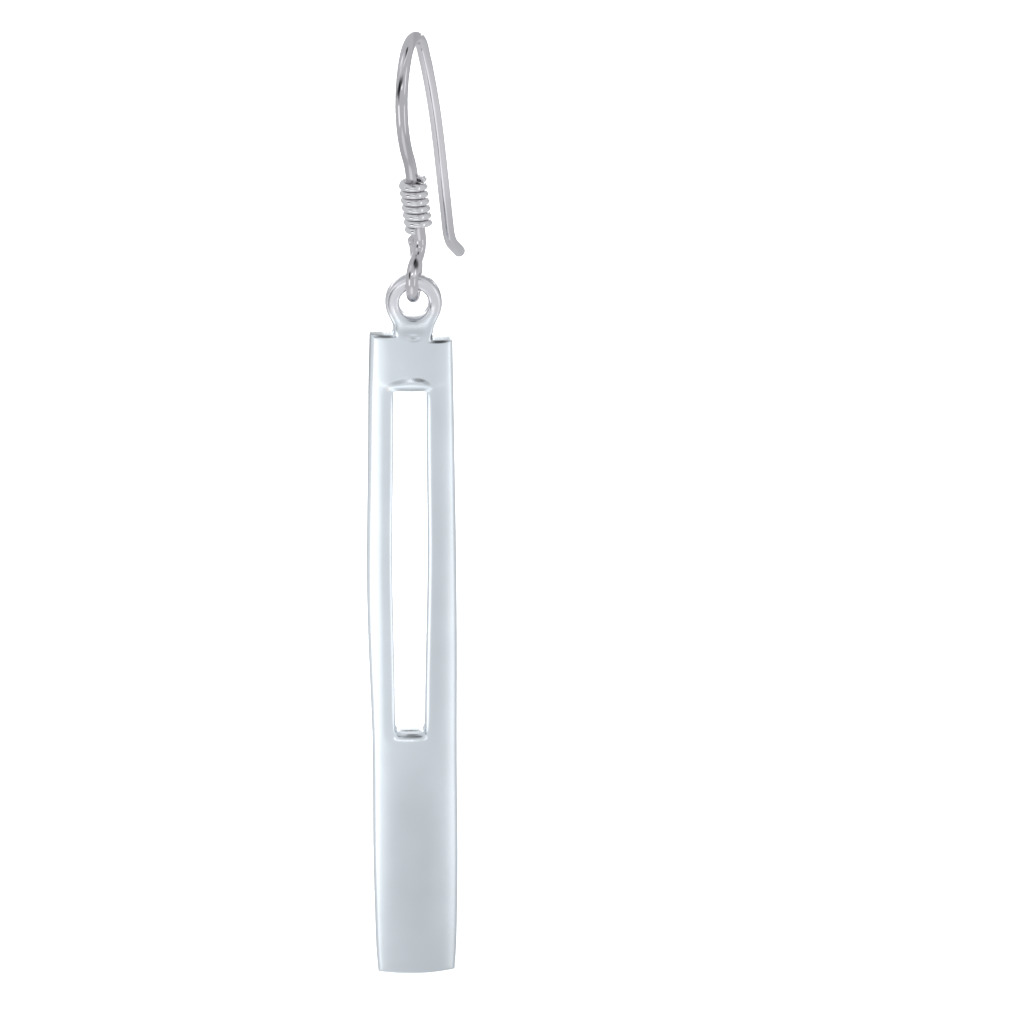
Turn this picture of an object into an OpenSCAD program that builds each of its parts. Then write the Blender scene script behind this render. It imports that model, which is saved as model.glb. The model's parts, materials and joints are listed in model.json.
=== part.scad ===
// Bar drop earring, shown hanging: an ear hook bent from one wire, a fine wire
// coil wound on its shank, and a slotted bar whose ring hangs in the hook's loop.
// Millimetres. +Z is up, the bar's domed face looks towards -Y, and the origin is
// the underside of the hook's crown, where the earring hangs in the ear.

/* [Hook wire] */
// Diameter of the hook's wire
wire_d = 0.8; // [0.6:0.05:0.95]
// Turn of the hook's plane away from square to the bar's face, in degrees
hook_yaw = 22; // [0:1:40]
// Bend radius of the crown that sits in the ear
crown_r = 1.8; // [1.4:0.1:2.6]
// Angle of the crown's bend towards the front, in degrees
crown_front_angle = 58; // [50:1:66]
// Angle of the crown's bend towards the back, in degrees
crown_back_angle = 58; // [50:1:66]

/* [Front leg] */
// Bend radius of the upper front leg, where it bows forward
brow_r = 5.6; // [4:0.1:8]
// Angle of the upper front bend, in degrees
brow_angle = 33; // [25:1:40]
// Bend radius of the lower front leg, where it comes back under the crown
cheek_r = 6.3; // [4.5:0.1:9]
// Slope of the front leg from plumb where it is steepest, in degrees
cheek_slope = 37; // [30:1:42]
// Bend radius of the small reverse bend above the coil
nape_r = 3.8; // [2.5:0.1:6]
// Slope of the shank from plumb, in degrees
shank_slope = 19.5; // [14:0.5:24]
// Straight length of the shank that carries the coil
shank_len = 4.85; // [4.5:0.05:7]

/* [Loop] */
// Bend radius of the forward swing from the shank into the loop
swan_r = 1.3; // [1.1:0.1:2]
// Angle of the forward swing, in degrees
swan_angle = 73; // [62:1:80]
// Sideways turn of the forward swing, in degrees
swan_turn = 5; // [0:1:10]
// Bend radius of the loop that holds the bar's ring
loop_r = 1.5; // [1.4:0.05:2]
// Turn of the loop's plane away from square to the bar's face, in degrees
loop_yaw = 8; // [0:1:12]
// Bend radius of the loop's end, which closes behind the shank
tail_r = 2.6; // [2.4:0.1:3.2]
// Angle of the loop's end bend, in degrees
tail_angle = 56; // [48:1:58]
// Sideways turn of the loop's end, in degrees
tail_turn = 7; // [0:1:12]

/* [Back leg] */
// Bend radius of the long back leg
back_r = 30; // [20:1:45]
// Angle of the back leg's bend, in degrees
back_angle = 15; // [10:1:20]
// Straight length of the back leg above its tip
back_len = 6.2; // [4:0.1:9]
// Bend radius of the kicked tip
kick_r = 2.4; // [1.5:0.1:4]
// Angle of the kicked tip, in degrees
kick_angle = 43; // [20:1:55]
// Straight length of the tip, up to its round end
tip_len = 1.2; // [0.6:0.1:2]

/* [Coil] */
// Diameter of the coil's wire
coil_wire_d = 0.5; // [0.3:0.05:0.6]
// Number of turns of the coil
coil_turns = 6.8; // [4:0.1:6.8]
// Gap between one turn and the next
coil_turn_gap = 0.05; // [0.02:0.01:0.12]
// Gap between the coil and the shank
coil_fit = 0.03; // [0.02:0.01:0.06]
// Length of bare shank above the coil
coil_start = 0.3; // [0.25:0.05:0.4]

/* [Ring] */
// Outer diameter of the bar's ring
ring_d = 3.76; // [3.4:0.02:4.4]
// Diameter of the hole through the ring
ring_hole_d = 1.9; // [1.8:0.05:2.2]
// Thickness of the ring
ring_t = 1.3; // [1:0.05:1.4]
// Radius of the ring's rounded rims
ring_rim_r = 0.3; // [0.2:0.05:0.4]
// Height of the hole's edge over the loop's wire, below which the two rims touch
ring_hang_gap = 0.14; // [0.12:0.01:0.18]

/* [Neck] */
// Width of the neck between the ring and the shoulders
neck_w = 2.55; // [2:0.05:3]
// Offset of the neck to the right of the ring's centre, less than 0 is to the left
neck_shift = -0.1; // [-0.2:0.05:0.2]
// Radius of the blend between the ring and the neck
neck_blend_r = 0.6; // [0.3:0.05:0.9]
// Radius of the blend between the neck and the shoulders
shoulder_blend_r = 0.35; // [0.2:0.05:0.45]

/* [Bar] */
// Height from the ring's centre down to the left shoulder
shoulder_drop = 2.1; // [2.05:0.05:3.5]
// Height by which the right shoulder is lower than the left one
shoulder_step = 0.35; // [0:0.05:0.6]
// Length of the bar below its left shoulder
bar_len = 46; // [34:1:60]
// Nominal width of the bar
bar_w = 6; // [5:0.1:8]
// Thickness of the bar along its middle
bar_t = 1.75; // [1.45:0.05:2.4]
// Height of the dome across the bar's face
dome_h = 0.7; // [0.2:0.05:0.9]

/* [Slot] */
// Length of the slot
slot_len = 24.3; // [12:0.1:28]
// Widest width of the slot
slot_w = 2.4; // [1.2:0.1:3]
// Height from the left shoulder down to the slot
slot_drop = 3.85; // [2:0.05:6]
// Offset of the slot to the right of the ring's centre, less than 0 is to the left
slot_shift = -0.25; // [-0.4:0.05:0.4]
// Radius of the slot's lower corners
slot_corner_r = 0.3; // [0.1:0.05:0.5]

/* [Hidden] */
$fn = 96;

// Columns of a row in a table of bends. A row is a straight run where its angle is 0,
// and an arc otherwise; ROLL turns the wire about its own axis before the row.
RUN = 0;
RADIUS = 1;
ANGLE = 2;
ROLL = 3;

// Front leg, shank and loop, from the crown downwards
front_bends = [
    [0, crown_r, crown_front_angle, 0],
    [0, brow_r, brow_angle, 0],
    [0, cheek_r, 90 + cheek_slope - crown_front_angle - brow_angle, 0],
    [0, nape_r, shank_slope - cheek_slope, 0],
    [shank_len, 0, 0, 0],
    [0, swan_r, -swan_angle, swan_turn],
    [0, loop_r, swan_angle - shank_slope, 0],
    [0, loop_r, 90, loop_yaw - hook_yaw - swan_turn],
    [0, loop_r, 90, 0],
    [0, tail_r, tail_angle, -tail_turn]
];
// Rows of the table where the shank starts and where the loop is at its lowest
SHANK_ROW = 4;
LOOP_FOOT = 8;

// Back leg, from the crown down to its kicked tip
back_bends = [
    [0, crown_r, crown_back_angle, 0],
    [0, back_r, back_angle, 0],
    [back_len, 0, 0, 0],
    [0, kick_r, -kick_angle, 0]
];
// Every other row is drawn this much thinner and reaches this far into its neighbours
row_step = wire_d / 40;
row_reach = 3 * row_step;

// The bar's sides from the shoulders down: share of the bar's length, then the left
// and the right side's distance from the ring's centre as shares of half the width
bar_sides = [
    [0.00, 0.975, 0.860],
    [0.08, 1.005, 0.885],
    [0.20, 1.023, 0.920],
    [0.32, 1.050, 0.957],
    [0.41, 1.050, 0.977],
    [0.50, 1.010, 0.988],
    [0.60, 0.952, 0.990],
    [0.68, 0.934, 0.997],
    [0.80, 0.934, 1.022],
    [0.91, 0.900, 1.018],
    [0.97, 0.870, 0.995],
    [1.00, 0.835, 0.965]
];

// The slot's sides from its top down: share of its length, share of half its width
slot_sides = [
    [0.00, 0.91],
    [0.15, 0.92],
    [0.30, 0.96],
    [0.45, 1.00],
    [0.60, 0.97],
    [0.75, 0.91],
    [0.90, 0.86],
    [1.00, 0.85]
];

// Steps drawn between two rows of a side table
side_steps = 4;
// Sides of the coil's wire and steps in one of its turns
coil_sides = 10;
coil_steps = 24;
// Where the coil's upper end lies around the shank, in degrees
coil_phase = 103;
// How far a cutting shape reaches past what it cuts
over = 1;

wire_r = wire_d / 2;
ring_r = ring_d / 2;
hole_r = ring_hole_d / 2;
back_y = ring_t / 2;
front_y = back_y - bar_t;
half_w = bar_w / 2;
dome_r = (half_w * half_w + dome_h * dome_h) / (2 * dome_h);
coil_pitch = coil_wire_d + coil_turn_gap;
coil_r = wire_r + coil_fit + coil_wire_d / 2;
bar_top = -shoulder_drop;
slot_top = bar_top - slot_drop;

function shift_frame(v) = [[1, 0, 0, v[0]], [0, 1, 0, v[1]], [0, 0, 1, v[2]], [0, 0, 0, 1]];
function roll_frame(a) = [[cos(a), -sin(a), 0, 0], [sin(a), cos(a), 0, 0], [0, 0, 1, 0], [0, 0, 0, 1]];
function pitch_frame(a) = [[cos(a), 0, sin(a), 0], [0, 1, 0, 0], [-sin(a), 0, cos(a), 0], [0, 0, 0, 1]];

// Frame on the crown whose z axis runs level in direction a and whose x axis points down
function crown_frame(a) = [
    [0, -sin(a), cos(a), 0],
    [0, cos(a), sin(a), 0],
    [-1, 0, 0, wire_r],
    [0, 0, 0, 1]
];

// Frame at the end of a row, seen from its start
function arc_frame(r, a) = shift_frame([sign(a) * r, 0, 0]) * pitch_frame(a) * shift_frame([-sign(a) * r, 0, 0]);
function row_frame(row) =
    roll_frame(row[ROLL]) * shift_frame([0, 0, row[RUN]]) * arc_frame(row[RADIUS], row[ANGLE]);

// Frames at the starts of all rows, and at the end of the last
function bend_frames(rows, frame, i = 0) =
    i == len(rows) ? [frame] : concat([frame], bend_frames(rows, frame * row_frame(rows[i]), i + 1));

front_frames = bend_frames(front_bends, crown_frame(270 - hook_yaw));
back_frames = bend_frames(back_bends, crown_frame(90 - hook_yaw));

// The lowest point of the loop's centre line is the axis on which the bar swings
loop_foot = [for (i = [0:2]) front_frames[LOOP_FOOT][i][3]];
ring_centre = loop_foot - [0, 0, hole_r - wire_r - ring_hang_gap];

// Smooth curve through the rows of a side table
function between(p, q, r, s, t) =
    0.5 * (2 * q + (r - p) * t + (2 * p - 5 * q + 4 * r - s) * t * t + (3 * q - p - 3 * r + s) * t * t * t);
function smooth(rows) = let (last = len(rows) - 1) concat(
    [for (i = [0:last - 1], k = [0:side_steps - 1])
        between(rows[max(i - 1, 0)], rows[i], rows[i + 1], rows[min(i + 2, last)], k / side_steps)],
    [rows[last]]
);
function reversed(list) = [for (i = [len(list) - 1:-1:0]) list[i]];

bar_curve = smooth(bar_sides);
slot_curve = smooth(slot_sides);
bar_outline = concat(
    [for (p = bar_curve) [-p[1] * half_w, bar_top - p[0] * bar_len]],
    [for (p = reversed(bar_curve)) [p[2] * half_w, bar_top - p[0] * bar_len]]
);
slot_outline = concat(
    [for (p = slot_curve) [slot_shift - p[1] * slot_w / 2, slot_top - p[0] * slot_len]],
    [for (p = reversed(slot_curve)) [slot_shift + p[1] * slot_w / 2, slot_top - p[0] * slot_len]]
);

// One row of a table of bends, which reaches past both its ends by reach
module bend_row(row, d, reach) {
    rotate([0, 0, row[ROLL] + (row[ANGLE] < 0 ? 180 : 0)])
        if (row[ANGLE] == 0) {
            translate([0, 0, -reach])
                cylinder(d = d, h = row[RUN] + 2 * reach);
        } else {
            extra = reach / row[RADIUS] * 180 / PI;
            translate([row[RADIUS], 0, 0])
                rotate([90, 0, 180])
                    rotate_extrude(angle = abs(row[ANGLE]) + 2 * extra, start = -extra)
                        translate([row[RADIUS], 0])
                            circle(d = d);
        }
}

// A chain of rows, whose even or odd rows are the thinner ones
module bent_wire(rows, frames, thin) {
    for (i = [0:len(rows) - 1])
        multmatrix(frames[i])
            if (i % 2 == thin)
                bend_row(rows[i], wire_d - row_step, row_reach);
            else
                bend_row(rows[i], wire_d, 0);
}

// Straight end of the wire with a round point, which reaches back into the bend before it
module round_tip() {
    tip_r = (wire_d - row_step) / 2;
    rotate_extrude() {
        translate([0, -row_reach])
            square([tip_r, tip_len + row_reach]);
        translate([0, tip_len])
            intersection() {
                circle(r = tip_r);
                square(tip_r);
            }
    }
}

module ear_hook() {
    color("lightgray") {
        bent_wire(front_bends, front_frames, 1);
        bent_wire(back_bends, back_frames, 0);
        multmatrix(back_frames[len(back_bends)])
            round_tip();
    }
}

// Points of the coil: one ring of coil_sides points for each step along the helix
coil_count = round(coil_turns * coil_steps);
coil_lead = atan(coil_pitch / (2 * PI * coil_r));
function coil_point(step, side) =
    let (
        a = coil_phase - 360 * step / coil_steps,
        b = 360 * side / coil_sides,
        out = coil_r + cos(b) * coil_wire_d / 2,
        along = sin(b) * coil_wire_d / 2
    )
    [
        out * cos(a) + along * sin(coil_lead) * sin(a),
        out * sin(a) - along * sin(coil_lead) * cos(a),
        coil_start + coil_wire_d / 2 + coil_pitch * step / coil_steps + along * cos(coil_lead)
    ];
coil_points = [for (i = [0:coil_count], k = [0:coil_sides - 1]) coil_point(i, k)];
function coil_at(step, side) = step * coil_sides + side % coil_sides;
coil_faces = concat(
    [[for (k = [0:coil_sides - 1]) coil_at(0, k)]],
    [for (i = [0:coil_count - 1], k = [0:coil_sides - 1], half = [0, 1])
        half == 0
            ? [coil_at(i, k), coil_at(i + 1, k), coil_at(i + 1, k + 1)]
            : [coil_at(i, k), coil_at(i + 1, k + 1), coil_at(i, k + 1)]],
    [[for (k = [coil_sides - 1:-1:0]) coil_at(coil_count, k)]]
);

module wire_coil() {
    color("silver")
        multmatrix(front_frames[SHANK_ROW])
            polyhedron(points = coil_points, faces = coil_faces);
}

// Stands an outline up so that it faces -Y and is as thick as asked, from the back plane forwards
module plate(t) {
    translate([0, back_y, 0])
        rotate([90, 0, 0])
            linear_extrude(t)
                children();
}

// Turns a profile around the ring's axis, with the profile's y along -Y
module turned_on_ring() {
    rotate([90, 0, 0])
        rotate_extrude()
            children();
}

module ring_disc_profile() {
    square_h = ring_t - 2 * ring_rim_r;
    translate([0, -ring_t / 2])
        square([ring_r - ring_rim_r, ring_t]);
    translate([0, -square_h / 2])
        square([ring_r, square_h]);
    for (side = [-1, 1])
        translate([ring_r - ring_rim_r, side * square_h / 2])
            circle(r = ring_rim_r);
}

// The hole with its rounded rims, as the shape that is cut away
module ring_hole_profile() {
    reach = ring_t / 2 + bar_t + over;
    rim = ring_t / 2 - ring_rim_r;
    translate([0, -reach])
        square([hole_r, 2 * reach]);
    for (side = [0, 1])
        mirror([0, side])
            difference() {
                translate([0, rim])
                    square([hole_r + ring_rim_r, reach - rim]);
                translate([hole_r + ring_rim_r, rim])
                    circle(r = ring_rim_r);
            }
}

// Blend on one side between the ring's edge and the neck's side
module ring_blend(side_x) {
    centre_x = side_x + neck_blend_r;
    reach = ring_r + neck_blend_r;
    centre_z = -sqrt(reach * reach - centre_x * centre_x);
    touch = [centre_x, centre_z] * ring_r / reach;
    difference() {
        polygon([[0, 0], touch, [centre_x, centre_z], [side_x, centre_z], [0, centre_z]]);
        translate([centre_x, centre_z])
            circle(r = neck_blend_r);
    }
}

// Blend on one side between the neck's side and a shoulder
module shoulder_blend(side_x, shoulder_z) {
    difference() {
        translate([side_x, shoulder_z])
            square(shoulder_blend_r);
        translate([side_x + shoulder_blend_r, shoulder_z + shoulder_blend_r])
            circle(r = shoulder_blend_r);
    }
}

module neck_outline() {
    left_x = neck_w / 2 - neck_shift;
    right_x = neck_w / 2 + neck_shift;
    root = bar_top - shoulder_step - over;
    translate([-left_x, root])
        square([neck_w, -root - hole_r]);
    ring_blend(right_x);
    shoulder_blend(right_x, bar_top - shoulder_step);
    mirror([1, 0]) {
        ring_blend(left_x);
        shoulder_blend(left_x, bar_top);
    }
}

module bar_body_outline() {
    difference() {
        polygon(bar_outline);
        translate([neck_shift, bar_top - shoulder_step])
            square([bar_w, shoulder_step + over]);
    }
}

// The slot with its rounded lower corners
module slot_shape() {
    foot = slot_top - slot_len;
    foot_w = slot_sides[len(slot_sides) - 1][1] * slot_w;
    difference() {
        polygon(slot_outline);
        for (side = [0, 1])
            translate([slot_shift, foot])
                mirror([side, 0])
                    translate([foot_w / 2 - slot_corner_r, 0])
                        difference() {
                            translate([0, -over])
                                square([slot_corner_r + over, slot_corner_r + over]);
                            translate([0, slot_corner_r])
                                circle(r = slot_corner_r);
                        }
    }
}

// The face's dome, which both the bar and its neck are cut to
module dome() {
    translate([0, front_y + dome_r, bar_top - bar_len - over])
        cylinder(r = dome_r, h = bar_len + shoulder_drop + 2 * over);
}

// Wedge in front of the neck, which brings the face back to the ring's thickness
module neck_slope() {
    foot = bar_top - shoulder_step;
    translate([-bar_w, 0, 0])
        rotate([90, 0, 90])
            linear_extrude(2 * bar_w)
                polygon([
                    [-ring_t / 2, 0],
                    [-ring_t / 2, -hole_r],
                    [front_y, foot],
                    [front_y - over, foot],
                    [front_y - over, 0]
                ]);
}

module bar_metal() {
    intersection() {
        plate(bar_t)
            bar_body_outline();
        dome();
    }
    difference() {
        intersection() {
            plate(bar_t)
                neck_outline();
            dome();
        }
        neck_slope();
    }
    turned_on_ring()
        ring_disc_profile();
}

module bar_drop() {
    color("gainsboro")
        translate(ring_centre)
            difference() {
                bar_metal();
                turned_on_ring()
                    ring_hole_profile();
                translate([0, over, 0])
                    plate(bar_t + 2 * over)
                        slot_shape();
            }
}

ear_hook();
wire_coil();
bar_drop();
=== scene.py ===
"""Bar drop earring of polished silver, hanging: a bent wire hook, a fine wire coil and a slotted bar."""

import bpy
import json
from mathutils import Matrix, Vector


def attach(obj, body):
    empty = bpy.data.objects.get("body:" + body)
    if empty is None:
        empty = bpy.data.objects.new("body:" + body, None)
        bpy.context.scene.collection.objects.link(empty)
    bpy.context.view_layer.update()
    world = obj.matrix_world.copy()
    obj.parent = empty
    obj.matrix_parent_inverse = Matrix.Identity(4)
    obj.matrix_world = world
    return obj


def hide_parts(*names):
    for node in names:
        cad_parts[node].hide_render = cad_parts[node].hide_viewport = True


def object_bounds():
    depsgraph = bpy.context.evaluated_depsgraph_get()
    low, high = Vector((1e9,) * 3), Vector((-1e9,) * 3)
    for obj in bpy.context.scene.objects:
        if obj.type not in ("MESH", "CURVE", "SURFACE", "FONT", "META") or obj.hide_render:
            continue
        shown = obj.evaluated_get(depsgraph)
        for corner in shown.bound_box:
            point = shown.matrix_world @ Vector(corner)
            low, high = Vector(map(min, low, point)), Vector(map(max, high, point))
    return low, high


bl_info = {
    "name": "Bar drop earring",
    "version": (1, 0, 0),
    "blender": (4, 5, 0),
    "location": "3D View > Sidebar > Earring",
    "description": "Models the hook, the coil and the slotted bar of a hanging earring",
    "category": "Add Mesh",
}

import json
import math

import bmesh
import bpy
from bpy.props import FloatProperty, FloatVectorProperty, IntProperty, PointerProperty
from mathutils import Matrix, Vector

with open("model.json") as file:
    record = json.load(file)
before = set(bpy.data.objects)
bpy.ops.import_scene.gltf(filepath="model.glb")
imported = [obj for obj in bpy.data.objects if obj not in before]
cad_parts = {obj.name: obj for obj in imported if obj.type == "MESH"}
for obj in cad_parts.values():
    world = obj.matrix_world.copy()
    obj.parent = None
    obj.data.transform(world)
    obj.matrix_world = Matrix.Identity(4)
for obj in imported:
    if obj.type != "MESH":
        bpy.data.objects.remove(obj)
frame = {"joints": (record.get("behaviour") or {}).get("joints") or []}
CAD_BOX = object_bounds()

# Pieces are shaped in millimetres, and made metres when they are finished
MM = 0.001
# The hinge that the bar swings on, in millimetres
PIVOT = Vector(frame["joints"][0]["pos_m"]) / MM
# A vertex this near a place, in millimetres, is taken to be at it
NEAR = 1e-4
# Slack in comparing the bar's own sizes, in millimetres
SLACK = 0.001
# Degrees of one step of a wire's bend
BEND_STEP = 3.0


def length(name, default, description):
    """A size in millimetres, as a property in metres."""
    return FloatProperty(
        name=name, description=description, default=default * MM, unit="LENGTH", precision=5)


def angle(name, default, description):
    """An angle in degrees, as a property in radians."""
    return FloatProperty(name=name, description=description, default=math.radians(default), subtype="ANGLE")


def plain(name, default, description):
    """A bare number as a property."""
    return FloatProperty(name=name, description=description, default=default)


def colour(name, default, description):
    """A linear colour as a property."""
    return FloatVectorProperty(name=name, description=description, default=default, subtype="COLOR", size=3)


def in_mm(sizes, name):
    """A length property's value in millimetres."""
    return getattr(sizes, name) / MM


def in_degrees(sizes, name):
    """An angle property's value in degrees."""
    return math.degrees(getattr(sizes, name))


class HookSizes(bpy.types.PropertyGroup):
    """Bends and runs of the hook's wire."""
    wire_d: length("Wire", 0.8, "Diameter of the hook's wire")
    plating: length("Plating", 0.01, "Thickness of the silver laid over the wire")
    hook_turn: angle("Hook turn", 22, "Turn of the hook's plane away from square to the bar's face")
    loop_turn: angle("Loop turn", 8, "Turn of the loop's plane away from square to the bar's face")
    crown_r: length("Crown radius", 1.8, "Bend radius of the crown that sits in the ear")
    crown_angle: angle("Crown angle", 58, "Angle of the crown's bend on each side")
    brow_r: length("Brow radius", 5.6, "Bend radius of the upper front leg")
    brow_angle: angle("Brow angle", 33, "Angle of the upper front bend")
    cheek_r: length("Cheek radius", 6.3, "Bend radius of the lower front leg")
    cheek_slope: angle("Cheek slope", 37, "Slope of the front leg from plumb where it is steepest")
    nape_r: length("Nape radius", 3.8, "Bend radius of the small reverse bend above the coil")
    shank_slope: angle("Shank slope", 19.5, "Slope of the shank from plumb")
    shank_len: length("Shank length", 4.85, "Straight length of the shank that carries the coil")
    swan_r: length("Swan radius", 1.3, "Bend radius of the forward swing into the loop")
    swan_angle: angle("Swan angle", 73, "Angle of the forward swing")
    swan_turn: angle("Swan turn", 5, "Sideways turn of the forward swing")
    loop_r: length("Loop radius", 1.5, "Bend radius of the loop that holds the bar's ring")
    tail_r: length("Tail radius", 2.6, "Bend radius of the loop's end, behind the shank")
    tail_angle: angle("Tail angle", 56, "Angle of the loop's end bend")
    tail_turn: angle("Tail turn", 7, "Sideways turn of the loop's end")
    back_r: length("Back radius", 30, "Bend radius of the long back leg")
    back_angle: angle("Back angle", 15, "Angle of the back leg's bend")
    back_len: length("Back length", 6.2, "Straight length of the back leg above its tip")
    kick_r: length("Kick radius", 2.4, "Bend radius of the kicked tip")
    kick_angle: angle("Kick angle", 43, "Angle of the kicked tip")
    tip_len: length("Tip length", 1.35, "Straight length of the tip")
    tip_rounding: length("Tip rounding", 0.24, "Radius of the tip's filed edge")
    cut_rounding: length("Cut rounding", 0.06, "Radius of the edge where the loop's end is cut")
    sides: IntProperty(name="Sides", description="Faces around the wire", default=36, min=12)


class CoilSizes(bpy.types.PropertyGroup):
    """The fine wire wound on the shank."""
    wire_d: length("Wire", 0.51, "Diameter of the coil's wire")
    turns: plain("Turns", 6.8, "Number of turns")
    turn_gap: length("Turn gap", 0.04, "Gap between one turn and the next")
    fit: length("Fit", 0.04, "Gap between the coil and the shank")
    start: length("Start", 0.295, "Length of bare shank above the coil")
    lean: angle("Lean", 18, "Angle by which the turns rise towards the front")
    phase: angle("Phase", 103, "Where the coil's upper end lies around the shank")
    cut_rounding: length("Cut rounding", 0.06, "Radius of the edges where the wire is cut")
    sides: IntProperty(name="Sides", description="Faces around the wire", default=16, min=8)
    steps: IntProperty(name="Steps", description="Steps in one turn", default=50, min=12)


class BarSizes(bpy.types.PropertyGroup):
    """The cast bar with its ring."""
    ring_d: length("Ring", 3.76, "Outer diameter of the ring")
    hole_d: length("Ring hole", 1.9, "Diameter of the hole through the ring")
    ring_t: length("Ring thickness", 1.3, "Thickness of the ring")
    hang_gap: length("Hang gap", 0.14, "Height of the hole's edge over the loop's wire")
    neck_w: length("Neck", 2.55, "Width of the neck")
    neck_shift: length("Neck shift", -0.1, "Offset of the neck to the right")
    shoulder_drop: length("Shoulder drop", 2.1, "Height from the ring's centre to the left shoulder")
    shoulder_step: length("Shoulder step", 0.35, "Height by which the right shoulder is lower")
    bar_len: length("Bar length", 46, "Length of the bar below its left shoulder")
    bar_w: length("Bar width", 6, "Nominal width of the bar")
    bar_t: length("Bar thickness", 1.75, "Thickness of the bar along its middle")
    dome_h: length("Dome", 0.7, "Height of the dome across the face")
    slot_len: length("Slot length", 24.3, "Length of the slot")
    slot_w: length("Slot width", 2.4, "Widest width of the slot")
    slot_drop: length("Slot drop", 3.85, "Height from the left shoulder to the slot")
    slot_shift: length("Slot shift", -0.25, "Offset of the slot to the right")
    roll_w: length("Slot roll", 0.45, "Width over which the face rolls into the slot")
    roll_t: length("Slot roll depth", 0.28, "Depth of the face's roll into the slot")
    ridge_h: length("Ridge", 0.15, "Height of the low ridge over the slot")
    rim_r: length("Rim", 0.2, "Rounding of the face's long edges")
    facet_r: length("Facet", 0.36, "Width of the facet at the left edge's top")
    end_rim_r: length("End rim", 0.1, "Rounding of the face's edges at the shoulders and the foot")
    slot_rim_r: length("Slot rim", 0.1, "Rounding of the slot's edges on the face")
    ring_rim_r: length("Ring rim", 0.38, "Rounding of the ring's edges on the face")
    hole_rim_r: length("Hole rim", 0.26, "Rounding of the ring's hole on both faces")
    back_rim_r: length("Back rim", 0.12, "Rounding of the other edges on the back")
    corner_r: length("Corners", 0.05, "Rounding of the upright corners")
    right_corner_r: length("Right corner", 0.2, "Rounding of the right shoulder's corner")
    slot_corner_r: length("Slot corners", 0.38, "Rounding of the slot's lower corners")


class StageSizes(bpy.types.PropertyGroup):
    """Floor, lights and camera."""
    floor_drop: FloatProperty(name="Floor drop", description="Height from the bar's foot down to the floor",
                              default=0.22, unit="LENGTH")
    floor_size: FloatProperty(name="Floor size", description="Width of the floor",
                              default=8.0, unit="LENGTH")
    camera_distance: FloatProperty(name="Camera distance", description="Distance from the earring's middle",
                                   default=0.230, unit="LENGTH")
    camera_raise: length("Camera raise", 0.94, "Height of the camera's aim over the earring's middle")
    camera_azimuth: angle("Camera azimuth", -2, "Turn of the camera around the earring")
    camera_elevation: angle("Camera elevation", 18, "Height of the camera over the horizon")
    camera_yaw: angle("Camera yaw", 1.622, "Turn of the camera away from the earring's middle")
    camera_lens: plain("Lens", 121.3, "Focal length in millimetres on a 36 mm sensor")


class Finishes(bpy.types.PropertyGroup):
    """Colours and polish of the silver."""
    wire_tint: colour("Wire tint", (0.61, 0.595, 0.615), "Colour of the hook's silver")
    # The coil's tint is its silver's colour, made paler than the hook's as painted light against the shade
    # between its turns
    coil_tint_and_painted_light: colour("Coil tint", (0.77, 0.76, 0.775), "Colour of the coil's silver")
    bar_tint: colour("Bar tint", (0.79, 0.835, 0.875), "Colour of the bar's silver")
    # The ring's tint is a painted reflection colour on the same silver as the bar
    ring_reflection_tint: colour("Ring tint", (0.81, 0.80, 0.835), "Colour of the silver above the bar's shoulders")
    wire_roughness: plain("Wire roughness", 0.12, "Roughness of the hook's polish")
    bar_roughness: plain("Bar roughness", 0.27, "Roughness of the bar's polish")
    floor_tint: colour("Floor tint", (0.9, 0.9, 0.9), "Colour of the floor")


# Share of the bar's length, then the left and the right side's distance from the ring's
# centre as shares of half the bar's width
BAR_SIDES = (
    (0.00, 0.975, 0.860),
    (0.08, 1.005, 0.885),
    (0.20, 1.023, 0.920),
    (0.32, 1.050, 0.957),
    (0.41, 1.050, 0.977),
    (0.50, 1.010, 0.988),
    (0.60, 0.952, 0.990),
    (0.68, 0.934, 0.997),
    (0.80, 0.934, 1.022),
    (0.91, 0.900, 1.018),
    (0.97, 0.870, 0.995),
    (1.00, 0.835, 0.965),
)

# Share of the slot's length, and its half width as a share of half its widest width
SLOT_SIDES = (
    (0.00, 0.91),
    (0.15, 0.92),
    (0.30, 0.96),
    (0.45, 1.00),
    (0.60, 0.97),
    (0.75, 0.91),
    (0.90, 0.86),
    (1.00, 0.85),
)


def along(table, share):
    """The smooth value of a side table at a share of its length."""
    last = len(table) - 1
    i = max(k for k in range(last) if table[k][0] <= share or k == 0)
    p, q, r, s = (table[min(max(k, 0), last)] for k in (i - 1, i, i + 1, i + 2))
    t = (share - q[0]) / (r[0] - q[0])
    return [0.5 * (2 * q[c] + (r[c] - p[c]) * t + (2 * p[c] - 5 * q[c] + 4 * r[c] - s[c]) * t * t
                   + (3 * q[c] - p[c] - 3 * r[c] + s[c]) * t ** 3) for c in range(1, len(q))]


# Modelling by hand: what is selected, dragged, bent and finished


def clear_desk():
    """Leaves edit mode and selects nothing."""
    if bpy.context.mode != "OBJECT":
        bpy.ops.object.mode_set(mode="OBJECT")
    bpy.ops.object.select_all(action="DESELECT")


def start_piece(name):
    """Names the new primitive, applies its place and opens it in edit mode."""
    piece = bpy.context.active_object
    piece.name = name
    piece.data.name = name
    bpy.ops.object.transform_apply(location=True, rotation=True, scale=True)
    bpy.ops.object.mode_set(mode="EDIT")
    return piece


def pick(piece, test, kind="verts"):
    """Selects the vertices, edges or faces that pass the test, and nothing else."""
    mesh = bmesh.from_edit_mesh(piece.data)
    bpy.ops.mesh.select_all(action="DESELECT")
    bpy.ops.mesh.select_mode(type={"verts": "VERT", "edges": "EDGE", "faces": "FACE"}[kind])
    found = [part for part in getattr(mesh, kind) if test(part)]
    for part in found:
        part.select_set(True)
    mesh.select_flush_mode()
    bmesh.update_edit_mesh(piece.data, loop_triangles=False, destructive=False)
    return found


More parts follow.
